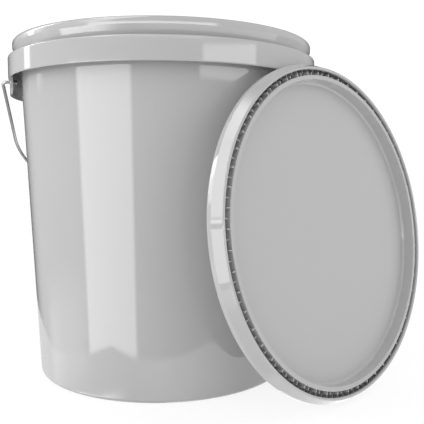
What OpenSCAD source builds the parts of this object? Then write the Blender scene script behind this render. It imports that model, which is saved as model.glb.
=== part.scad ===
// Plastic fermenting bucket, closed with its lid, with a second lid leaning against it.
// The origin is the centre of the base, Z is up and X runs along the bail's pivot axis.
// All sizes are in millimetres.

/* [Bucket] */
// Outer radius of the tapered wall at the floor
base_r = 158.5; // [150:0.5:165]
// Outer radius of the wall at the collar's lower edge
neck_r = 175.2; // [172:0.1:178]
// Wall thickness
wall_t = 2.2; // [1.6:0.1:3]
// Thickness of the floor
floor_t = 2.6; // [2:0.1:4]
// Radius of the rounded heel round the base
heel_r = 5; // [3:0.5:8]

/* [Collar] */
// Height of the collar's lower edge above the floor
collar_z0 = 357.4; // [340:0.1:370]
// Height of the collar
collar_h = 25.5; // [22:0.1:30]
// How far the collar stands out from the rim
collar_reach = 13.6; // [12:0.1:18]
// Thickness of the collar's skirt
collar_t = 2.4; // [2:0.1:3]
// Rounding of the collar's top edge
shoulder_r = 1.6; // [1:0.1:2.4]
// Number of gussets under the collar
gusset_n = 24; // [12:4:36]
// Thickness of a gusset
gusset_t = 2; // [1.5:0.1:3]
// Height of a gusset's lower edge above the collar's
gusset_up = 8; // [5:0.5:12]
// Height of the bare rim that stands above the collar
rim_h = 8; // [6:0.5:12]

/* [Ears] */
// Half width of an ear, measured along Y
ear_half_w = 50; // [40:1:60]
// How far an ear hangs below the collar
ear_drop = 18.6; // [15:0.1:30]
// Thickness of an ear plate
ear_t = 2.4; // [2:0.1:3]
// How far the ear plates lie inside the collar's outer face
ear_inset = 1.8; // [1:0.1:3]
// Rounding of an ear's lower corners
ear_corner = 8; // [4:1:14]
// Radius of the round boss at the pivot hole
boss_r = 6; // [5:0.5:8]

/* [Lid] */
// Height of a lid from its opening to its crown
lid_h = 19.1; // [17:0.1:24]
// Width of the channel that takes the bucket's rim
channel_w = 6.3; // [5.6:0.1:8]
// Clearance between the rim and the lid's lip
lip_gap = 0.4; // [0.2:0.1:1]
// Thickness of the lip
lip_t = 3.3; // [2.4:0.1:4]
// How much further out the crown reaches than the lip
flare = 4.6; // [3:0.1:6]
// Thickness of the skirt above the lip
skirt_t = 3.3; // [2.4:0.1:4]
// Thickness of the plug ring inside the channel
plug_t = 4.8; // [3:0.1:6]
// Height of the crease above the opening
crease_z = 10.9; // [8:0.1:13]
// Rounding of the crown's outer edge
crown_edge = 4.3; // [2:0.1:5]
// Thickness of the lid's panel and crown
lid_t = 2.1; // [1.6:0.1:3]
// How far the panel lies below the crown
panel_drop = 1.7; // [1:0.1:4]
// Rounding where the plug ring meets the panel
panel_fillet = 3; // [1:0.5:5]
// Number of main ribs in the channel, with as many deeper ones between
rib_n = 56; // [28:4:64]
// Thickness of a rib
rib_t = 1.2; // [0.8:0.1:1.6]
// Depth of the main and of the deeper ribs below the opening
rib_z = [1.2, 3.7];
// Angle of the first main rib
rib_phase = -1.8; // [-3:0.1:3]

/* [Leaning lid] */
// Direction that the leaning lid's open side faces, from +X
lean_az = -53.56; // [-60:0.01:-45]
// How far the leaning lid is tipped back
lean_tilt = 8.37; // [8:0.01:9]
// How far its middle lies to the right of the line it faces along
lean_side = 49; // [40:0.5:55]

/* [Bail] */
// Radius of the wire
wire_r = 2; // [1.5:0.1:2.5]
// Height of the pivot axis above the collar's lower edge
pivot_up = 0.4; // [-3:0.1:3]
// Clear distance between a leg and the collar
leg_gap = 7.5; // [5:0.5:12]
// Length of a leg before it curves inwards
leg_l = 104; // [80:1:120]
// Angle at which the bail hangs, between the wire's plane and the vertical
hang_a = 51; // [47:0.5:55]
// Bend radius where a leg turns into its pivot
pin_bend = 5; // [4:0.5:7]
// How far the headed pivots reach inside the ears
pin_reach = 3.8; // [2.5:0.1:5]

/* [Grip] */
// Largest radius of the grip
grip_r = 11; // [9:0.5:13]
// Length of wire that stays bare at each end of the grip, before the wire curves
grip_bare = 13; // [5:1:20]
// Number of shallow finger grooves
groove_n = 5; // [3:1:7]
// Depth of a finger groove
groove_d = 1.2; // [0.6:0.1:2]

/* [Hidden] */
$fn = 120;
white = [0.93, 0.93, 0.94];
steel = [0.72, 0.72, 0.74];

run_gap = 0.06;                                  // radial clearance of a pin in its hole
fit_gap = 0.3;                                   // clearance between pieces that rest together
sink = 0.4;                                      // how far a rib or gusset is sunk into its wall

// Bucket and collar
taper = (neck_r - base_r) / collar_z0;           // growth of the wall's radius with height
taper_a = atan(taper);
collar_z1 = collar_z0 + collar_h;
rim_r = wall_r(collar_z1);                       // outer radius of the bare rim
collar_r = rim_r + collar_reach;
ear_r = [collar_r - ear_inset - ear_t, collar_r - ear_inset];
ear_z0 = collar_z0 - ear_drop;
gusset_l = collar_r - collar_t - neck_r + 2 * sink;

// Lid: every radius is set out from the rim that it closes
lid_z = collar_z1 + fit_gap;                     // height of the fitted lid's opening
channel_r = [rim_r + lip_gap - channel_w, rim_r + lip_gap];
lip_r = channel_r[1] + lip_t;
crown_r = lip_r + flare;
plug_r = channel_r[0] - plug_t;
lid_panel_z = lid_h - panel_drop;                // top of a lid's panel above its opening
rib_w = channel_w - lip_gap - wall_t - fit_gap;  // ribs stop short of the bucket's rim

// Leaning lid: its crown's edge stands on the floor and its back touches the collar
lean_z = (crown_r - crown_edge) * cos(lean_tilt) + (lid_h - crown_edge) * sin(lean_tilt) + crown_edge;
lean_out = collar_r + fit_gap + (lid_h + sin(lean_tilt) * (collar_z0 - lean_z)) / cos(lean_tilt);

// Bail: its depth follows from its grip resting on the bucket's back
pivot_z = collar_z0 + pivot_up;
bail_half_w = collar_r + leg_gap + wire_r;
pin_end = ear_r[0] - pin_reach;
bail_depth = (wall_r(pivot_z) + (grip_r + fit_gap) / cos(taper_a)) / (sin(hang_a) + taper * cos(hang_a));
bail_arc = bail_depth - leg_l;                   // radius of the curve below each leg
bail_mid = bail_half_w - bail_arc;               // half length of the straight middle
grip_l = 2 * (bail_mid - grip_bare);

function wall_r(z) = base_r + taper * z;
function arc(c, r, a0, a1, n = 6) =
    [for (i = [0:n]) c + r * [cos(a0 + (a1 - a0) * i / n), sin(a0 + (a1 - a0) * i / n)]];

// Half section of the bucket, from the middle of its base round the outside and back down the inside
function bucket_section() = let (fillet = heel_r / 2) concat(
    [[0, 0]],
    arc([base_r + taper * heel_r - heel_r / cos(taper_a), heel_r], heel_r, -90, -taper_a),
    [[wall_r(collar_z1 - wall_t), collar_z1 - wall_t]],
    [[collar_r - collar_t, collar_z1 - wall_t]],
    arc([collar_r - collar_t / 2, collar_z0 + collar_t / 2], collar_t / 2, -180, 0),
    arc([collar_r - shoulder_r, collar_z1 - shoulder_r], shoulder_r, 0, 90),
    [[rim_r, collar_z1]],
    arc([rim_r - wall_t / 2, collar_z1 + rim_h - wall_t / 2], wall_t / 2, 0, 180),
    [[rim_r - wall_t, collar_z1]],
    arc([wall_r(floor_t + fillet) - wall_t - fillet, floor_t + fillet], fillet, -taper_a, -90),
    [[0, floor_t]]
);

// Half section of a lid, with its opening at z = 0 and its crown upwards
function lid_section() = let (soft = plug_t / 6, skirt_r = crown_r - skirt_t) concat(
    [[0, lid_panel_z - lid_t]],
    arc([plug_r - panel_fillet, lid_panel_z - lid_t - panel_fillet], panel_fillet, 90, 0, 5),
    arc([plug_r + soft, fit_gap + soft], soft, 180, 270, 3),
    arc([channel_r[0] - soft, fit_gap + soft], soft, -90, 0, 3),
    [[channel_r[0], lid_h - lid_t], [skirt_r, lid_h - lid_t], [skirt_r, crease_z], [channel_r[1], lip_t]],
    arc([channel_r[1] + lip_t / 2, lip_t / 2], lip_t / 2, -180, 0),
    [[crown_r, crease_z]],
    arc([crown_r - crown_edge, lid_h - crown_edge], crown_edge, 0, 90),
    [[channel_r[0] + panel_drop, lid_h], [channel_r[0], lid_panel_z], [0, lid_panel_z]]
);

module revolve(section) {
    rotate_extrude() polygon(section);
}

// A shape repeated on both sides of the bucket
module both_sides() {
    for (a = [0, 180]) rotate([0, 0, a]) children();
}

// A cylinder that starts at x and runs outwards along X at height z
module bar(x, z, r, l) {
    translate([x, 0, z]) rotate([0, 90, 0]) cylinder(r = r, h = l);
}

// Ribs standing on the outside of the plug ring, from depth z0 up into the crown, and right across above the rim
module channel_ribs(phase, z0) {
    z1 = min(lid_h - lid_t + sink / 2, lid_panel_z - sink / 2);
    for (i = [0:rib_n - 1])
        rotate([0, 0, phase + i * 360 / rib_n])
            translate([channel_r[0] - sink, -rib_t / 2, 0]) {
                translate([0, 0, z0]) cube([rib_w + sink, rib_t, z1 - z0]);
                translate([0, 0, rim_h + fit_gap]) cube([crown_r - skirt_t - channel_r[0] + 2 * sink, rib_t, z1 - rim_h - fit_gap]);
            }
}

module lid() {
    revolve(lid_section());
    channel_ribs(rib_phase, rib_z[0]);
    channel_ribs(rib_phase + 180 / rib_n, rib_z[1]);
}

// Outline of an ear seen along X: rounded at its lower corners and reaching up into the collar's top
module ear_outline(x, l) {
    flat_w = ear_half_w - ear_corner;
    h = collar_z1 - wall_t / 2 - ear_z0;
    for (s = [-1, 1]) translate([0, s * flat_w, 0]) bar(x, ear_z0 + ear_corner, ear_corner, l);
    translate([x, -flat_w, ear_z0]) cube([l, 2 * flat_w, h]);
    translate([x, -ear_half_w, ear_z0 + ear_corner]) cube([l, 2 * ear_half_w, h - ear_corner]);
}

// Both ears: a curved plate that hangs below the collar, with a boss at the pivot
module ears() {
    sagitta = ear_r[0] - sqrt(pow(ear_r[0], 2) - pow(ear_half_w, 2));
    intersection() {
        difference() {
            translate([0, 0, ear_z0 - ear_t]) cylinder(r = ear_r[1], h = collar_z1 - ear_z0);
            translate([0, 0, ear_z0 - 2 * ear_t]) cylinder(r = ear_r[0], h = collar_z1 - ear_z0 + 2 * ear_t);
        }
        both_sides() ear_outline(ear_r[0] - sagitta - ear_t, sagitta + 3 * ear_t);
    }
    both_sides() bar(ear_r[0] + sink, pivot_z, boss_r, collar_r - ear_r[0] - sink - 0.1);
}

module gussets() {
    for (i = [0:gusset_n - 1])
        rotate([0, 0, (i + 0.5) * 360 / gusset_n])
            translate([neck_r - sink, -gusset_t / 2, collar_z0 + gusset_up])
                cube([gusset_l, gusset_t, collar_h - wall_t / 2 - gusset_up]);
}

module bucket_body() {
    color(white) difference() {
        union() {
            revolve(bucket_section());
            gussets();
            ears();
        }
        both_sides() bar(ear_r[0] - ear_t, pivot_z, wire_r + run_gap, collar_r - ear_r[0] + 3 * ear_t);
    }
}

// Moves a shape drawn in the bail's own plane, with Y down the legs, to where the bail hangs
module hang() {
    translate([0, 0, pivot_z]) rotate([hang_a - 90, 0, 0]) children();
}

// One half of the bail: headed pivot, bend, leg, curve and half of the straight middle
module half_bail() {
    bar(pin_end, 0, wire_r, bail_half_w - pin_bend - pin_end);
    bar(pin_end, 0, wire_r * 1.5, pin_reach / 2);
    translate([bail_half_w - pin_bend, pin_bend, 0]) rotate([0, 0, -90])
        rotate_extrude(angle = 90) translate([pin_bend, 0]) circle(r = wire_r);
    translate([bail_half_w, pin_bend, 0]) rotate([-90, 0, 0]) cylinder(r = wire_r, h = leg_l - pin_bend);
    translate([bail_mid, leg_l, 0])
        rotate_extrude(angle = 90) translate([bail_arc, 0]) circle(r = wire_r);
    translate([0, bail_depth, 0]) bar(0, 0, wire_r, bail_mid);
}

module bail_wire() {
    color(steel) hang() {
        half_bail();
        mirror([1, 0, 0]) half_bail();
    }
}

// Half section of the grip along its axis: rounded ends and shallow finger grooves between them
function grip_section() = let (h = grip_l / 2, soft = grip_r / 4, plain = grip_r, w = groove_d / 2) concat(
    [[wire_r + run_gap, -h]],
    arc([grip_r - 2 * w - soft, soft - h], soft, -90, 0, 4),
    [for (i = [0:groove_n * 6]) [grip_r - w + w * cos(i * 60), plain - h + i * (grip_l - 2 * plain) / (6 * groove_n)]],
    arc([grip_r - 2 * w - soft, h - soft], soft, 0, 90, 4),
    [[wire_r + run_gap, h]]
);

module bail_grip() {
    color(white) hang() translate([0, bail_depth, 0]) rotate([0, 90, 0])
        rotate_extrude($fn = 60) polygon(grip_section());
}

module fitted_lid() {
    color(white) translate([0, 0, lid_z]) lid();
}

module leaning_lid() {
    color(white) rotate([0, 0, lean_az]) translate([lean_out, lean_side, lean_z])
        rotate([0, -90 - lean_tilt, 0]) rotate([0, 0, 90]) lid();
}

bucket_body();
bail_wire();
bail_grip();
fitted_lid();
leaning_lid();
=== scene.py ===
"""Plastic fermenting bucket with a fitted lid and a spare lid leaning on it.

The shapes use the same sizes as the solids, so every piece lies where its solid lies.
The origin is the centre of the base, Z is up and X runs along the bail's pivot axis.
"""

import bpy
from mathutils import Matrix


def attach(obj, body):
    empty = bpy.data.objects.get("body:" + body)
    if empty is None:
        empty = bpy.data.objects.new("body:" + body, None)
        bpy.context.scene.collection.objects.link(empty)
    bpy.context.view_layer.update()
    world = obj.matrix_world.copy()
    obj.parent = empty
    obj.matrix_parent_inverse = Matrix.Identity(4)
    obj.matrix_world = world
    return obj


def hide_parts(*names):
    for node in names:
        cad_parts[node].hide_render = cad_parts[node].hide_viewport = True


bl_info = {
    "name": "Plastic Fermenting Bucket",
    "version": (1, 0, 0),
    "blender": (4, 5, 0),
    "location": "View3D > Sidebar > Bucket",
    "description": "Builds a lidded plastic bucket, its wire bail and a spare lid",
    "category": "Add Mesh",
}

from math import atan, atan2, cos, degrees, hypot, pi, radians, sin, sqrt

import bpy
from mathutils import Matrix, Vector

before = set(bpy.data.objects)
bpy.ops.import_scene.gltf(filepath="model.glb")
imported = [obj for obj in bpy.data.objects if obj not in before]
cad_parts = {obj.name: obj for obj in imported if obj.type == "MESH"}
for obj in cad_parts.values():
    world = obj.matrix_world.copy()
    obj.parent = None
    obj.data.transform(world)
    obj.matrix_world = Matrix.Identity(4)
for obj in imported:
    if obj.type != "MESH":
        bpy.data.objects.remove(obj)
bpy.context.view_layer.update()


# ---------------------------------------------------------------- settings

def length(name, description, mm):
    return bpy.props.FloatProperty(name=name, description=description, default=mm / 1000,
                                   min=0, precision=4, unit="LENGTH", subtype="DISTANCE")


def turn(name, description, degrees):
    return bpy.props.FloatProperty(name=name, description=description,
                                   default=radians(degrees), unit="ROTATION", subtype="ANGLE")


def count(name, description, number):
    return bpy.props.IntProperty(name=name, description=description, default=number, min=1)


def amount(name, description, value, top=1.0):
    return bpy.props.FloatProperty(name=name, description=description, default=value,
                                   min=0, max=top, subtype="FACTOR" if top == 1.0 else "NONE")


def colour(name, description, value):
    return bpy.props.FloatVectorProperty(name=name, description=description, default=value,
                                         size=3, min=0, max=1, subtype="COLOR")


class BucketSizes(bpy.types.PropertyGroup):
    base_r: length("Base radius", "Outer radius of the tapered wall at the floor", 158.5)
    neck_r: length("Neck radius", "Outer radius of the wall at the collar's lower edge", 175.2)
    wall_t: length("Wall", "Wall thickness", 2.2)
    floor_t: length("Floor", "Thickness of the floor", 2.6)
    heel_r: length("Heel", "Radius of the rounded heel round the base", 5)
    collar_z0: length("Collar bottom", "Height of the collar's lower edge", 357.4)
    collar_h: length("Collar height", "Height of the collar", 25.5)
    collar_reach: length("Collar reach", "How far the collar stands out from the rim", 13.6)
    collar_t: length("Collar skirt", "Thickness of the collar's skirt", 2.4)
    shoulder_r: length("Shoulder", "Rounding of the collar's top edge", 1.6)
    gusset_n: count("Gussets", "Number of gussets under the collar", 24)
    gusset_t: length("Gusset thickness", "Thickness of a gusset", 2)
    gusset_up: length("Gusset rise", "Height of a gusset's lower edge above the collar's", 8)
    rim_h: length("Rim", "Height of the bare rim above the collar", 8)
    ear_half_w: length("Ear half width", "Half width of an ear", 50)
    ear_drop: length("Ear drop", "How far an ear hangs below the collar", 18.6)
    ear_t: length("Ear thickness", "Thickness of an ear plate", 2.4)
    ear_inset: length("Ear inset", "How far the ears lie inside the collar's face", 1.8)
    ear_corner: length("Ear corner", "Rounding of an ear's lower corners", 8)
    boss_r: length("Boss", "Radius of the boss at the pivot hole", 6)


class LidSizes(bpy.types.PropertyGroup):
    lid_h: length("Height", "Height of a lid from its opening to its crown", 19.1)
    channel_w: length("Channel", "Width of the channel that takes the rim", 6.3)
    lip_gap: length("Lip clearance", "Clearance between the rim and the lip", 0.4)
    lip_t: length("Lip", "Thickness of the lip", 3.3)
    flare: length("Flare", "How much further out the crown reaches than the lip", 4.6)
    skirt_t: length("Skirt", "Thickness of the skirt above the lip", 3.3)
    plug_t: length("Plug ring", "Thickness of the plug ring", 4.8)
    crease_z: length("Crease", "Height of the crease above the opening", 10.9)
    crown_edge: length("Crown edge", "Rounding of the crown's outer edge", 4.3)
    lid_t: length("Panel", "Thickness of the panel and crown", 2.1)
    panel_drop: length("Panel drop", "How far the panel lies below the crown", 1.7)
    panel_fillet: length("Panel fillet", "Rounding between plug ring and panel", 3)
    rib_n: count("Ribs", "Number of main ribs, with as many deeper ones between", 56)
    rib_t: length("Rib thickness", "Thickness of a rib", 1.2)
    rib_z0: length("Main rib depth", "Depth of the main ribs below the opening", 1.2)
    rib_z1: length("Deeper rib depth", "Depth of the deeper ribs below the opening", 3.7)
    rib_phase: turn("Rib start", "Angle of the first main rib", -1.8)
    lean_az: turn("Lean direction", "Direction the leaning lid's open side faces", -53.56)
    lean_tilt: turn("Lean tilt", "How far the leaning lid is tipped back", 8.37)
    lean_side: length("Lean side", "How far the leaning lid's middle lies to one side", 49)


class BailSizes(bpy.types.PropertyGroup):
    wire_r: length("Wire radius", "Radius of the wire", 2)
    pivot_up: length("Pivot rise", "Height of the pivots above the collar's lower edge", 0.4)
    leg_gap: length("Leg gap", "Clear distance between a leg and the collar", 7.5)
    leg_l: length("Leg", "Length of a leg before it curves inwards", 104)
    hang_a: turn("Hang", "Angle between the hanging bail and the vertical", 51)
    pin_bend: length("Pivot bend", "Bend radius where a leg turns into its pivot", 5)
    pin_reach: length("Pivot reach", "How far the headed pivots reach inside the ears", 3.8)
    grip_r: length("Grip radius", "Largest radius of the grip", 11)
    grip_bare: length("Bare wire", "Wire left bare between the grip and the curve", 13)
    groove_n: count("Grooves", "Number of finger grooves", 5)
    groove_d: length("Groove depth", "Depth of a finger groove", 1.2)


class Finishes(bpy.types.PropertyGroup):
    body_colour: colour("Bucket", "Colour of the bucket's plastic", (0.50, 0.50, 0.50))
    lid_colour: colour("Lids", "Colour of the lids' plastic", (0.50, 0.50, 0.50))
    grip_colour: colour("Grip", "Colour of the grip's plastic", (0.52, 0.52, 0.52))
    # The wire's colour is darker than plated steel: painted shade that stands in for the dark
    # surroundings the wire reflects.
    wire_colour: colour("Wire", "Colour of the plated wire", (0.28, 0.28, 0.29))
    gloss: amount("Plastic roughness", "Roughness of the moulded plastic", 0.035)
    grip_gloss: amount("Grip roughness", "Roughness of the grip's plastic", 0.135)
    polish: amount("Wire roughness", "Roughness of the plating", 0.07)


class Studio(bpy.types.PropertyGroup):
    soft: amount("Soft light", "Brightness of the plain light from all round", 0.87, 4)
    key: amount("Key light", "Power of the large lamp at the left, in watts", 16.0, 400)
    fill: amount("Fill light", "Power of the large lamp at the right, in watts", 7.0, 400)
    walls: amount("Walls", "Brightness of the studio's walls in reflections", 0.55, 4)
    ground: amount("Ground", "Brightness of the studio's floor in reflections", 1.0, 4)
    window: amount("Window", "Brightness of the reflected window", 4.4, 20)
    strip: amount("Strip", "Brightness of the reflected strip light", 6.0, 40)
    second: amount("Second window", "Brightness of the window reflected at the right", 3.3, 20)
    card: amount("Card", "Brightness of the reflected overhead card", 6.0, 20)
    pool: amount("Pool of light", "Brightness of the lit floor reflected under the lid", 6.0, 20)
    tall: amount("Tall light", "Brightness of the upright light at the left", 4.0, 20)
    ceiling: amount("Ceiling", "Brightness of the lit ceiling at the left", 4.6, 20)
    haze: amount("Haze", "Brightness of the faint glow at the far end of the floor", 0.9, 4)


# ---------------------------------------------------------------- fixed values

RUN_GAP = 0.00006    # radial clearance of the grip and the pivots on the wire
FIT_GAP = 0.0003     # clearance between pieces that rest together
SINK = 0.0004        # how far a rib, gusset or boss is sunk into its wall
BOSS_INSET = 0.0001  # how far a boss stays inside the collar's face
BROKEN = 0.0002      # broken edge of a rib or gusset
WELD = 1e-6          # points closer than this are merged
NEAR = 1e-5          # heights closer than this count as the same
HEAD = 1.5           # width of a pivot's head, in wire widths

ROUND = 192          # steps round the bucket and the lids
WIRE_SIDES = 20      # sides of the bail's round wire
HOLE_SIDES = 32      # sides of the pivot holes
BOSS_SIDES = 48      # sides of the bosses round the pivot holes
GROOVE_STEPS = 10    # points along one finger groove

BODY_SHARP = 32      # edges that turn by more degrees than this stay crisp
LID_SHARP = 20
WIRE_SHARP = 40

CAMERA_AT = (-0.05549, -0.79356, 0.2558)
CAMERA_TURN = (90 - 4.4268, 0, -8.4421)
CAMERA_SIDE = -94    # direction from the bucket to the camera, in degrees
LENS, SENSOR = 51.74, 36
KEY_AT, FILL_AT = (-2.0, -0.35, 0.95), (2.0, -0.5, 0.95)
LAMP_AIM = (0, 0, 0.2)
LAMP_SIZE = 1.4
FLOOR_SIZE = 30
WHITE = (1, 1, 1, 1)
FLOOR_WHITE = 1.06   # brightness of the floor's own white
FLOOR_SHARE = 0.8    # share of its own white in what the camera sees of the floor
BACKDROP_WHITE = 1.05    # brightness of the backdrop that the camera sees


# ---------------------------------------------------------------- derived sizes

def settings():
    s = bpy.context.scene
    return s.bucket_sizes, s.lid_sizes, s.bail_sizes, s.bucket_finishes, s.bucket_studio


def taper():
    b = settings()[0]
    return (b.neck_r - b.base_r) / b.collar_z0


def wall_r(z):
    return settings()[0].base_r + taper() * z


def collar_top():
    b = settings()[0]
    return b.collar_z0 + b.collar_h


def collar_r():
    return wall_r(collar_top()) + settings()[0].collar_reach


def ear_radii():
    b = settings()[0]
    outer = collar_r() - b.ear_inset
    return outer - b.ear_t, outer


def lid_radii():
    """Inner and outer radius of the channel, radius of the crown and of the plug ring's inside."""
    l = settings()[1]
    outer = wall_r(collar_top()) + l.lip_gap
    inner = outer - l.channel_w
    return inner, outer, outer + l.lip_t + l.flare, inner - l.plug_t


def pivot_z():
    return settings()[0].collar_z0 + settings()[2].pivot_up


def bail_half():
    """Distance from the bucket's middle to the middle of a bail's leg."""
    w = settings()[2]
    return collar_r() + w.leg_gap + w.wire_r


def bail_depth():
    """Length of the bail from its pivots to its middle: the grip rests on the bucket's back."""
    w = settings()[2]
    reach = (w.grip_r + FIT_GAP) * hypot(1, taper())
    return (wall_r(pivot_z()) + reach) / (sin(w.hang_a) + taper() * cos(w.hang_a))


def hung():
    """Turns the bail from lying flat at the origin to hanging from its pivots."""
    turned = Matrix.Rotation(settings()[2].hang_a - pi / 2, 4, "X")
    return Matrix.Translation((0, 0, pivot_z())) @ turned


# ---------------------------------------------------------------- modelling by hand

def arc(x, z, r, a0, a1, n=8):
    """Points on an arc round (x, z), from angle a0 to a1 in degrees."""
    return [(x + r * cos(radians(a0 + (a1 - a0) * i / n)),
             z + r * sin(radians(a0 + (a1 - a0) * i / n))) for i in range(n + 1)]


def start_fresh():
    if bpy.context.object and bpy.context.object.mode != "OBJECT":
        bpy.ops.object.mode_set(mode="OBJECT")
    bpy.ops.object.select_all(action="DESELECT")


def draw(name, points):
    """Draws a line through points: one point first, then extruded from each to the next."""
    start_fresh()
    bpy.ops.mesh.primitive_plane_add(size=0.01, location=(0, 0, 0))
    line = bpy.context.object
    line.name = name
    bpy.ops.object.mode_set(mode="EDIT")
    bpy.ops.mesh.select_all(action="SELECT")
    bpy.ops.mesh.merge(type="CENTER")
    bpy.ops.transform.translate(value=points[0])
    for a, b in zip(points, points[1:]):
        step = Vector(b) - Vector(a)
        bpy.ops.mesh.extrude_region_move(TRANSFORM_OT_translate={"value": step})
    return line


def turn_round(name, section, axis=(0, 0, 1), steps=ROUND):
    """Turns a half section round an axis, closes it and points its faces outwards."""
    if axis[2]:
        points = [(r, 0, z) for r, z in section]
    else:
        points = [(z, 0, r) for r, z in section]
    piece = draw(name, points)
    bpy.ops.mesh.select_all(action="SELECT")
    bpy.ops.mesh.spin(steps=steps, angle=2 * pi, center=(0, 0, 0), axis=axis)
    bpy.ops.mesh.select_all(action="SELECT")
    bpy.ops.mesh.remove_doubles(threshold=WELD)
    bpy.ops.mesh.normals_make_consistent(inside=False)
    bpy.ops.object.mode_set(mode="OBJECT")
    return piece


def block(name, lo, hi):
    """A box between two corners, with its edges broken."""
    start_fresh()
    lo, hi = Vector(lo), Vector(hi)
    bpy.ops.mesh.primitive_cube_add(size=1, location=(lo + hi) / 2, scale=hi - lo)
    piece = bpy.context.object
    piece.name = name
    bpy.ops.object.transform_apply(location=True, rotation=True, scale=True)
    bpy.ops.object.mode_set(mode="EDIT")
    bpy.ops.mesh.select_all(action="SELECT")
    bpy.ops.mesh.bevel(offset=BROKEN, segments=1)
    bpy.ops.object.mode_set(mode="OBJECT")
    return piece


def rod(name, x0, x1, z, r, sides):
    """A round bar along X."""
    start_fresh()
    bpy.ops.mesh.primitive_cylinder_add(vertices=sides, radius=r, depth=x1 - x0,
                                        location=((x0 + x1) / 2, 0, z), rotation=(0, pi / 2, 0))
    piece = bpy.context.object
    piece.name = name
    bpy.ops.object.transform_apply(location=True, rotation=True, scale=True)
    return piece


def copies_round(piece, n, start=0.0):
    """Copies a piece round the Z axis until there are n, the first turned by start."""
    start_fresh()
    activate(piece)
    if start:
        piece.matrix_world = Matrix.Rotation(start, 4, "Z")
        bpy.ops.object.transform_apply(location=True, rotation=True, scale=True)
    bpy.ops.object.mode_set(mode="EDIT")
    bpy.ops.mesh.select_all(action="SELECT")
    bpy.ops.mesh.spin(steps=n - 1, dupli=True, angle=2 * pi * (n - 1) / n,
                      center=(0, 0, 0), axis=(0, 0, 1))
    bpy.ops.object.mode_set(mode="OBJECT")


def activate(piece):
    piece.select_set(True)
    bpy.context.view_layer.objects.active = piece


def cut(piece, tool):
    """Cuts tool out of piece and removes the tool."""
    start_fresh()
    activate(piece)
    m = piece.modifiers.new("cut", "BOOLEAN")
    m.operation = "DIFFERENCE"
    m.solver = "EXACT"
    m.object = tool
    bpy.ops.object.modifier_apply(modifier=m.name)
    mesh = tool.data
    bpy.data.objects.remove(tool)
    bpy.data.meshes.remove(mesh)


def join(first, *others):
    start_fresh()
    for o in others:
        o.select_set(True)
    activate(first)
    bpy.ops.object.join()
    return first


def place(piece, matrix):
    """Moves a finished piece to its place and leaves its object at the origin."""
    start_fresh()
    activate(piece)
    piece.matrix_world = matrix
    bpy.ops.object.transform_apply(location=True, rotation=True, scale=True)


def finish_piece(piece, material, body, node, sharp=BODY_SHARP):
    """Smooths a piece by its angles and face sizes, gives it its material and its body."""
    start_fresh()
    activate(piece)
    bpy.ops.object.shade_smooth_by_angle(angle=radians(sharp))
    m = piece.modifiers.new("weighted", "WEIGHTED_NORMAL")
    m.keep_sharp = True
    bpy.ops.object.modifier_apply(modifier=m.name)
    piece.data.materials.clear()
    piece.data.materials.append(material)
    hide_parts(node)
    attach(piece, body)


# ---------------------------------------------------------------- shader maths

class Value:
    """One output of a node, on which Python's operators add Math nodes."""

    def __init__(self, maker, socket):
        self.maker, self.socket = maker, socket

    def do(self, operation, *others):
        """Adds a Math node on this value and the others."""
        return self.maker.node("ShaderNodeMath", {"operation": operation},
                               dict(enumerate((self,) + others)))

    def __add__(self, other):
        return self.do("ADD", other)

    def __mul__(self, other):
        return self.do("MULTIPLY", other)

    def __sub__(self, other):
        return self.do("SUBTRACT", other)

    def __rsub__(self, other):
        return self.maker.node("ShaderNodeMath", {"operation": "SUBTRACT"}, {0: other, 1: self})

    __radd__, __rmul__ = __add__, __mul__

    def step(self, a, b):
        """Rises softly from 0 to 1 between a and b."""
        return self.maker.node("ShaderNodeMapRange", {"interpolation_type": "SMOOTHSTEP"},
                               {"Value": self, "From Min": a, "From Max": b})

    def band(self, a, b, soft):
        """1 between a and b, 0 outside, with soft edges."""
        return self.step(a - soft, a + soft) * (1 - self.step(b - soft, b + soft))


class Maker:
    """Adds nodes to one node tree."""

    def __init__(self, tree):
        self.tree = tree
        tree.nodes.clear()

    def node(self, kind, options=None, inputs=None, out=0):
        """Adds a node with its options and inputs and returns the output that is asked for."""
        n = self.tree.nodes.new(kind)
        for key, v in (options or {}).items():
            setattr(n, key, v)
        for key, v in (inputs or {}).items():
            if isinstance(v, Value):
                self.tree.links.new(v.socket, n.inputs[key])
            else:
                n.inputs[key].default_value = v
        return Value(self, n.outputs[out]) if n.outputs else None

    def noise(self, where, scale, detail, roughness=0.5):
        return self.node("ShaderNodeTexNoise", None,
                         {"Vector": where, "Scale": scale, "Detail": detail,
                          "Roughness": roughness})

    def tint(self, rgb, factor):
        """A colour times a factor."""
        return self.node("ShaderNodeVectorMath", {"operation": "SCALE"},
                         {0: tuple(rgb), "Scale": factor})


def new_material(name):
    """A material and the maker of its nodes."""
    mat = bpy.data.materials.new(name)
    mat.use_nodes = True
    return mat, Maker(mat.node_tree)


def plastic(name, rgb, gloss):
    """Moulded glossy polythene: faint cloudiness, fine grain, scuffs and slightly uneven gloss."""
    mat, k = new_material(name)
    where = k.node("ShaderNodeTexCoord", out="Object")
    cloud = k.noise(where, scale=7, detail=3)
    swim = k.noise(where, scale=22, detail=1)
    grain = k.noise(where, scale=900, detail=3, roughness=0.6)
    scuff = k.noise(where, scale=140, detail=6, roughness=0.7).step(0.62, 0.74)
    base = k.tint(rgb, 1.0 + (cloud - 0.5) * 0.035 + (grain - 0.5) * 0.02 - scuff * 0.012)
    rough = gloss + (swim - 0.5) * 0.02 + (grain - 0.5) * 0.015 + scuff * 0.05
    waves = k.node("ShaderNodeBump", None, {"Strength": 0.02, "Distance": 0.002, "Height": swim})
    skin = k.node("ShaderNodeBump", None,
                  {"Strength": 0.02, "Distance": 0.0002, "Height": grain, "Normal": waves})
    shell = k.node("ShaderNodeBsdfPrincipled", None,
                   {"Base Color": base, "Roughness": rough, "IOR": 1.5, "Normal": skin})
    k.node("ShaderNodeOutputMaterial", None, {"Surface": shell})
    return mat


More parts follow.
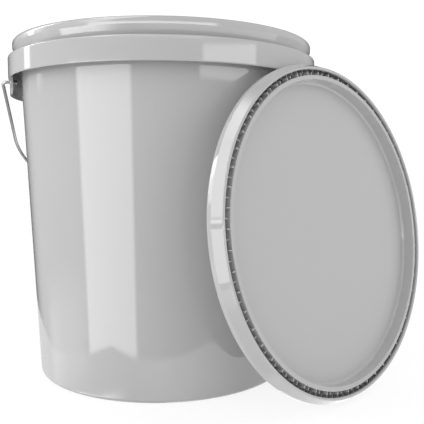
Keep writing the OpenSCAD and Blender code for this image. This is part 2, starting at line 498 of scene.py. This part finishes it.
def plated(name, rgb, polish):
    """Bright plated steel wire: drawn lines, small specks and a little dulling."""
    mat, k = new_material(name)
    where = k.node("ShaderNodeTexCoord", out="Object")
    along = k.node("ShaderNodeMapping", None, {"Vector": where, "Scale": (60, 900, 900)})
    drawn = k.noise(along, scale=1, detail=3)
    specks = k.noise(where, scale=420, detail=4, roughness=0.7).step(0.60, 0.72)
    base = k.tint(rgb, 1.0 + (drawn - 0.5) * 0.10 - specks * 0.18)
    rough = polish + (drawn - 0.5) * 0.10 + specks * 0.15
    skin = k.node("ShaderNodeBump", None, {"Strength": 0.08, "Distance": 0.0002, "Height": drawn})
    metal = k.node("ShaderNodeBsdfPrincipled", None,
                   {"Base Color": base, "Roughness": rough, "Metallic": 1.0, "Normal": skin})
    k.node("ShaderNodeOutputMaterial", None, {"Surface": metal})
    return mat


# ---------------------------------------------------------------- the pieces

class BUCKET_OT_body(bpy.types.Operator):
    """Makes the bucket: tapered wall, deep collar with gussets, bare rim and the two ears"""
    bl_idname = "bucket.body"
    bl_label = "Make Bucket"

    def execute(self, context):
        b, _, w, f, _ = settings()
        top, out = collar_top(), collar_r()
        body = turn_round("bucket_body_skin", self.section())

        gusset = block("gusset", (b.neck_r - SINK, -b.gusset_t / 2, b.collar_z0 + b.gusset_up),
                       (out - b.collar_t + SINK, b.gusset_t / 2, top - b.wall_t / 2))
        copies_round(gusset, b.gusset_n, pi / b.gusset_n)

        ears = self.ears()
        r0 = ear_radii()[0]
        boss = rod("boss", r0 + SINK, out - BOSS_INSET, pivot_z(), b.boss_r, BOSS_SIDES)
        copies_round(boss, 2)
        for part in (body, ears, boss):
            hole = rod("hole", r0 - b.ear_t, out + 2 * b.ear_t, pivot_z(), w.wire_r + RUN_GAP,
                       HOLE_SIDES)
            copies_round(hole, 2)
            cut(part, hole)
        join(body, gusset, ears, boss)
        finish_piece(body, plastic("bucket plastic", f.body_colour, f.gloss),
                     "bucket", "bucket_body")
        return {"FINISHED"}

    def section(self):
        """Half section of wall, collar, rim and floor, from the middle of the base round to the
        middle of the floor's inside."""
        b = settings()[0]
        t, top, out = taper(), collar_top(), collar_r()
        rim, fillet, end = wall_r(top), b.heel_r / 2, b.wall_t / 2
        lean = degrees(atan(t))
        heel = b.base_r + t * b.heel_r - b.heel_r * hypot(1, t)
        points = [(0, 0)]
        points += arc(heel, b.heel_r, b.heel_r, -90, -lean)
        points += [(wall_r(top - b.wall_t), top - b.wall_t), (out - b.collar_t, top - b.wall_t)]
        points += arc(out - b.collar_t / 2, b.collar_z0 + b.collar_t / 2, b.collar_t / 2, -180, 0)
        points += arc(out - b.shoulder_r, top - b.shoulder_r, b.shoulder_r, 0, 90)
        points += [(rim, top)]
        points += arc(rim - end, top + b.rim_h - end, end, 0, 180)
        points += [(rim - b.wall_t, top)]
        points += arc(wall_r(b.floor_t + fillet) - b.wall_t - fillet, b.floor_t + fillet, fillet,
                      -lean, -90, 6)
        return points + [(0, b.floor_t)]

    def ears(self):
        """Two curved plates that hang below the collar, with rounded lower corners."""
        b = settings()[0]
        r0, r1 = ear_radii()
        half = atan2(b.ear_half_w, sqrt(r1 ** 2 - b.ear_half_w ** 2))
        z0, z1 = b.collar_z0 - b.ear_drop, collar_top() - b.wall_t / 2
        piece = draw("ear", [(r0, 0, z0), (r1, 0, z0), (r1, 0, z1), (r0, 0, z1), (r0, 0, z0)])
        bpy.ops.mesh.select_all(action="SELECT")
        bpy.ops.mesh.remove_doubles(threshold=WELD)
        bpy.ops.mesh.spin(steps=10, angle=2 * half, center=(0, 0, 0), axis=(0, 0, 1))
        bpy.ops.mesh.select_all(action="SELECT")
        bpy.ops.mesh.fill_holes(sides=4)
        bpy.ops.mesh.normals_make_consistent(inside=False)
        bpy.ops.object.mode_set(mode="OBJECT")
        angles = [atan2(v.co.y, v.co.x) for v in piece.data.vertices]
        place(piece, Matrix.Rotation(-(min(angles) + max(angles)) / 2, 4, "Z"))
        self.select_lower_corners(piece, z0)
        bpy.ops.object.mode_set(mode="EDIT")
        bpy.ops.mesh.bevel(offset=b.ear_corner, segments=6, clamp_overlap=True)
        bpy.ops.mesh.select_mode(type="VERT")
        bpy.ops.object.mode_set(mode="OBJECT")
        copies_round(piece, 2)
        return piece

    def select_lower_corners(self, piece, bottom):
        """Selects the edges across an ear's thickness at its two lower corners."""
        b = settings()[0]
        bpy.ops.object.mode_set(mode="EDIT")
        bpy.ops.mesh.select_mode(type="EDGE")
        bpy.ops.mesh.select_all(action="DESELECT")
        bpy.ops.object.mode_set(mode="OBJECT")
        for e in piece.data.edges:
            p, q = (piece.data.vertices[i].co for i in e.vertices)
            low = max(p.z, q.z) < bottom + NEAR
            at_end = abs(p.y) > b.ear_half_w * 0.9
            across = abs(hypot(p.x, p.y) - hypot(q.x, q.y)) > b.ear_t / 2
            e.select = low and at_end and across


def lid_shape(name):
    """A lid with its opening at z = 0 and its crown up: ribbed channel, plug ring and panel."""
    b, l = settings()[:2]
    c0, c1, crown, plug = lid_radii()
    soft, skirt = l.plug_t / 6, crown - l.skirt_t
    panel, roof = l.lid_h - l.panel_drop, l.lid_h - l.lid_t
    section = [(0, panel - l.lid_t)]
    section += arc(plug - l.panel_fillet, panel - l.lid_t - l.panel_fillet, l.panel_fillet, 90, 0)
    section += arc(plug + soft, FIT_GAP + soft, soft, 180, 270, 6)
    section += arc(c0 - soft, FIT_GAP + soft, soft, -90, 0, 6)
    section += [(c0, roof), (skirt, roof), (skirt, l.crease_z), (c1, l.lip_t)]
    section += arc(c1 + l.lip_t / 2, l.lip_t / 2, l.lip_t / 2, -180, 0, 12)
    section += [(crown, l.crease_z)]
    section += arc(crown - l.crown_edge, l.lid_h - l.crown_edge, l.crown_edge, 0, 90)
    section += [(c0 + l.panel_drop, l.lid_h), (c0, panel), (0, panel)]
    lid = turn_round(name, section)
    reach = l.channel_w - l.lip_gap - b.wall_t - FIT_GAP
    z1 = min(roof + SINK / 2, panel - SINK / 2)
    parts = []
    for i, z0 in enumerate((l.rib_z0, l.rib_z1)):
        for x1, low in ((c0 + reach, z0), (skirt + SINK, b.rim_h + FIT_GAP)):
            rib = block("rib", (c0 - SINK, -l.rib_t / 2, low), (x1, l.rib_t / 2, z1))
            copies_round(rib, l.rib_n, l.rib_phase + i * pi / l.rib_n)
            parts.append(rib)
    return join(lid, *parts)


class BUCKET_OT_lids(bpy.types.Operator):
    """Makes the fitted lid and the spare lid that leans on the bucket, open side outwards"""
    bl_idname = "bucket.lids"
    bl_label = "Make Lids"

    def execute(self, context):
        b, l, _, f, _ = settings()
        skin = plastic("lid plastic", f.lid_colour, f.gloss)
        fitted = lid_shape("fitted_lid_skin")
        place(fitted, Matrix.Translation((0, 0, collar_top() + FIT_GAP)))
        finish_piece(fitted, skin, "lid", "fitted_lid", LID_SHARP)

        crown = lid_radii()[2]
        tilt, edge = l.lean_tilt, l.crown_edge
        z = (crown - edge) * cos(tilt) + (l.lid_h - edge) * sin(tilt) + edge
        out = collar_r() + FIT_GAP + (l.lid_h + sin(tilt) * (b.collar_z0 - z)) / cos(tilt)
        leaning = lid_shape("leaning_lid_skin")
        place(leaning, Matrix.Rotation(l.lean_az, 4, "Z") @
              Matrix.Translation((out, l.lean_side, z)) @
              Matrix.Rotation(-pi / 2 - tilt, 4, "Y") @ Matrix.Rotation(pi / 2, 4, "Z"))
        finish_piece(leaning, skin, "spare_lid", "leaning_lid", LID_SHARP)
        return {"FINISHED"}


class BUCKET_OT_bail(bpy.types.Operator):
    """Bends the wire bail from one headed pivot to the other and hangs it at the bucket's back"""
    bl_idname = "bucket.bail"
    bl_label = "Make Bail"

    def execute(self, context):
        _, _, w, f, _ = settings()
        half = bail_half()
        mid = half - (bail_depth() - w.leg_l)
        end = ear_radii()[0] - w.pin_reach
        head = w.pin_reach / 2
        start_fresh()
        bpy.ops.mesh.primitive_circle_add(vertices=WIRE_SIDES, radius=w.wire_r * HEAD,
                                          fill_type="NOTHING", location=(end, 0, 0),
                                          rotation=(0, pi / 2, 0))
        wire = bpy.context.object
        wire.name = "bail_wire_skin"
        bpy.ops.object.transform_apply(location=True, rotation=True, scale=True)
        bpy.ops.object.mode_set(mode="EDIT")
        bpy.ops.mesh.select_all(action="SELECT")
        self.run(head, 0)
        self.resize(end + head, 1 / HEAD)
        self.run(half - w.pin_bend - end - head, 0)
        self.bend(half - w.pin_bend, w.pin_bend, steps=8)
        self.run(0, w.leg_l - w.pin_bend)
        self.bend(mid, w.leg_l, steps=40)
        self.run(-2 * mid, 0)
        self.bend(-mid, w.leg_l, steps=40)
        self.run(0, -(w.leg_l - w.pin_bend))
        self.bend(-(half - w.pin_bend), w.pin_bend, steps=8)
        self.run(half - w.pin_bend - end - head, 0)
        self.resize(-end - head, HEAD)
        self.run(head, 0)
        bpy.ops.mesh.select_all(action="SELECT")
        bpy.ops.mesh.remove_doubles(threshold=WELD)
        bpy.ops.mesh.fill_holes(sides=WIRE_SIDES)
        bpy.ops.mesh.normals_make_consistent(inside=False)
        bpy.ops.object.mode_set(mode="OBJECT")
        place(wire, hung())
        finish_piece(wire, plated("plated wire", f.wire_colour, f.polish),
                     "bail", "bail_wire", WIRE_SHARP)
        return {"FINISHED"}

    def run(self, x, y):
        """Goes on straight by x and y."""
        bpy.ops.mesh.extrude_region_move(TRANSFORM_OT_translate={"value": (x, y, 0)})

    def resize(self, x, factor):
        """Makes the wire wider or narrower at x."""
        self.run(0, 0)
        bpy.ops.transform.resize(value=(factor, factor, factor), center_override=(x, 0, 0))

    def bend(self, x, y, steps):
        """Goes on by a quarter turn round (x, y)."""
        bpy.ops.mesh.spin(steps=steps, angle=-pi / 2, center=(x, y, 0), axis=(0, 0, 1))


class BUCKET_OT_grip(bpy.types.Operator):
    """Turns the grip with its shallow finger grooves round the bail's middle"""
    bl_idname = "bucket.grip"
    bl_label = "Make Grip"

    def execute(self, context):
        _, _, w, f, _ = settings()
        deep, r = bail_depth(), w.grip_r
        half = bail_half() - (deep - w.leg_l) - w.grip_bare
        soft, g, bore = r / 4, w.groove_d / 2, w.wire_r + RUN_GAP
        steps = w.groove_n * GROOVE_STEPS
        section = [(bore, -half)]
        section += arc(r - 2 * g - soft, soft - half, soft, -90, 0, 6)
        section += [(r - g + g * cos(i * 2 * pi / GROOVE_STEPS),
                     r - half + i * 2 * (half - r) / steps) for i in range(steps + 1)]
        section += arc(r - 2 * g - soft, half - soft, soft, 0, 90, 6)
        section += [(bore, half), (bore, -half)]
        grip = turn_round("bail_grip_skin", section, axis=(1, 0, 0), steps=64)
        place(grip, hung() @ Matrix.Translation((0, deep, 0)))
        finish_piece(grip, plastic("grip plastic", f.grip_colour, f.grip_gloss),
                     "grip", "bail_grip")
        return {"FINISHED"}


# ---------------------------------------------------------------- the stage

class BUCKET_OT_stage(bpy.types.Operator):
    """Makes the camera, the pale floor and the soft studio light"""
    bl_idname = "bucket.stage"
    bl_label = "Make Stage"

    def execute(self, context):
        s = settings()[4]
        scene = context.scene
        scene.view_settings.view_transform = "Standard"
        start_fresh()
        bpy.ops.object.camera_add(location=CAMERA_AT,
                                  rotation=[radians(a) for a in CAMERA_TURN])
        cam = context.object
        cam.data.lens, cam.data.sensor_width = LENS, SENSOR
        cam.data.clip_start, cam.data.clip_end = 0.01, 100
        scene.camera = cam

        start_fresh()
        bpy.ops.mesh.primitive_plane_add(size=FLOOR_SIZE, location=(0, 0, 0))
        floor = context.object
        floor.name = "floor"
        floor.visible_glossy = False
        floor.data.materials.append(self.floor_paint())

        self.lamp(KEY_AT, s.key)
        self.lamp(FILL_AT, s.fill)
        self.world(s)
        return {"FINISHED"}

    def lamp(self, where, power):
        start_fresh()
        bpy.ops.object.light_add(type="AREA", location=where)
        lamp = bpy.context.object
        lamp.data.shape = "SQUARE"
        lamp.data.size = LAMP_SIZE
        lamp.data.energy = power
        lamp.visible_glossy = False
        aim = Vector(LAMP_AIM) - lamp.location
        lamp.rotation_euler = aim.to_track_quat("-Z", "Y").to_euler()

    def floor_paint(self):
        """White floor: the camera sees mostly its own white, dimmed by part of the real shadow."""
        mat, k = new_material("floor")
        paint = k.node("ShaderNodeBsdfDiffuse", None, {"Color": (0.9, 0.9, 0.9, 1)})
        glow = k.node("ShaderNodeEmission", None, {"Color": WHITE, "Strength": FLOOR_WHITE})
        seen = k.node("ShaderNodeLightPath", out="Is Camera Ray")
        both = k.node("ShaderNodeMixShader", None, {0: seen * FLOOR_SHARE, 1: paint, 2: glow})
        k.node("ShaderNodeOutputMaterial", None, {"Surface": both})
        return mat

    def world(self, s):
        """Plain light from all round, in which glossy surfaces see the studio and the camera sees
        a white backdrop."""
        world = bpy.data.worlds.new("studio")
        bpy.context.scene.world = world
        world.use_nodes = True
        k = Maker(world.node_tree)
        plain, seen, shine = (
            k.node("ShaderNodeBackground", None, {"Color": WHITE, "Strength": strength})
            for strength in (s.soft, BACKDROP_WHITE, self.studio(k, s)))
        glossy = k.node("ShaderNodeLightPath", out="Is Glossy Ray")
        camera = k.node("ShaderNodeLightPath", out="Is Camera Ray")
        mix = k.node("ShaderNodeMixShader", None, {0: glossy, 1: plain, 2: shine})
        mix = k.node("ShaderNodeMixShader", None, {0: camera, 1: mix, 2: seen})
        k.node("ShaderNodeOutputWorld", None, {"Surface": mix})

    def studio(self, k, s):
        """Brightness of the studio by direction, in degrees: side goes from the camera's place
        round to the left, high goes up from level."""
        side, high = self.directions(k)
        edge = ((side - 5) * (side - 5) * 0.0011 - 23.35).do("MINIMUM", -21.4)
        edge = edge.do("MAXIMUM", side * 0.045 - 24.55).do("MAXIMUM", side * 0.15 - 36.6)
        wall = (high - edge).step(-0.2, 0.2)
        behind = side.do("ABSOLUTE").step(128, 155)
        ground = (s.ground + side.step(35, -5)) * (1 - behind * 0.2)
        glow = ground + wall * (s.walls * (1 - behind) - ground)
        window = side.band(25, 69.5, 2) * wall * (1 - high.step(8.4, 9.2))
        strip = side.band(108.5, 115.5, 2) * high.step(3.5, 9) * (1 - high.step(60, 66))
        second = side.band(-68, -27, 1.5) * high.band(3, 11, 0.2)
        card = side.band(-38, 55, 3) * high.band(11.9, 14, 0.3)
        pool = side.step(32, 58) * (1 - side.step(90, 96)) * high.band(-38, -25.6, 0.5)
        tall = side.band(98, 124, 6) * high.band(12.5, 42, 2)
        ceiling_low = (1 - side.step(58, 72)) * high.band(15, 60, 2)
        ceiling_top = (1 - side.step(100, 180)) * high.band(60, 82, 2)
        ceiling = side.step(32, 44) * (ceiling_low + ceiling_top)
        haze = side.band(72, 120, 8) * high.band(-23, -14.5, 3.5)
        for light, brightness in ((window, s.window), (strip, s.strip), (second, s.second),
                                  (card, s.card), (pool, s.pool), (tall, s.tall),
                                  (ceiling, s.ceiling), (haze, s.haze)):
            glow = glow + light * brightness
        return glow

    def directions(self, k):
        """The ray's direction as two angles in degrees."""
        ray = k.node("ShaderNodeTexCoord", out="Generated")
        front = radians(CAMERA_SIDE)
        ahead, left = (
            k.node("ShaderNodeVectorMath", {"operation": "DOT_PRODUCT"},
                   {0: ray, 1: (cos(a), sin(a), 0)}, out="Value")
            for a in (front, front - pi / 2))
        up = k.node("ShaderNodeSeparateXYZ", None, {0: ray}, out="Z")
        return left.do("ARCTAN2", ahead) * degrees(1), up.do("ARCSINE") * degrees(1)


class BUCKET_PT_sizes(bpy.types.Panel):
    """Lists the bucket's sizes, finishes and steps"""
    bl_label = "Fermenting Bucket"
    bl_space_type = "VIEW_3D"
    bl_region_type = "UI"
    bl_category = "Bucket"

    def draw(self, context):
        for title, group in zip(("Bucket", "Lids", "Bail", "Finishes", "Studio"), settings()):
            box = self.layout.box()
            box.label(text=title)
            for key in group.bl_rna.properties.keys():
                if key not in ("rna_type", "name"):
                    box.prop(group, key)
        for step in STEPS:
            self.layout.operator(step)


CLASSES = (BucketSizes, LidSizes, BailSizes, Finishes, Studio, BUCKET_OT_body, BUCKET_OT_lids,
           BUCKET_OT_bail, BUCKET_OT_grip, BUCKET_OT_stage, BUCKET_PT_sizes)
STEPS = ("bucket.body", "bucket.lids", "bucket.bail", "bucket.grip", "bucket.stage")


def register():
    for c in CLASSES:
        bpy.utils.register_class(c)
    bpy.types.Scene.bucket_sizes = bpy.props.PointerProperty(type=BucketSizes)
    bpy.types.Scene.lid_sizes = bpy.props.PointerProperty(type=LidSizes)
    bpy.types.Scene.bail_sizes = bpy.props.PointerProperty(type=BailSizes)
    bpy.types.Scene.bucket_finishes = bpy.props.PointerProperty(type=Finishes)
    bpy.types.Scene.bucket_studio = bpy.props.PointerProperty(type=Studio)


def unregister():
    for name in ("bucket_sizes", "lid_sizes", "bail_sizes", "bucket_finishes", "bucket_studio"):
        delattr(bpy.types.Scene, name)
    for c in reversed(CLASSES):
        bpy.utils.unregister_class(c)


def main():
    register()
    bpy.ops.bucket.body()
    bpy.ops.bucket.lids()
    bpy.ops.bucket.bail()
    bpy.ops.bucket.grip()
    bpy.ops.bucket.stage()


if __name__ == "__main__":
    main()
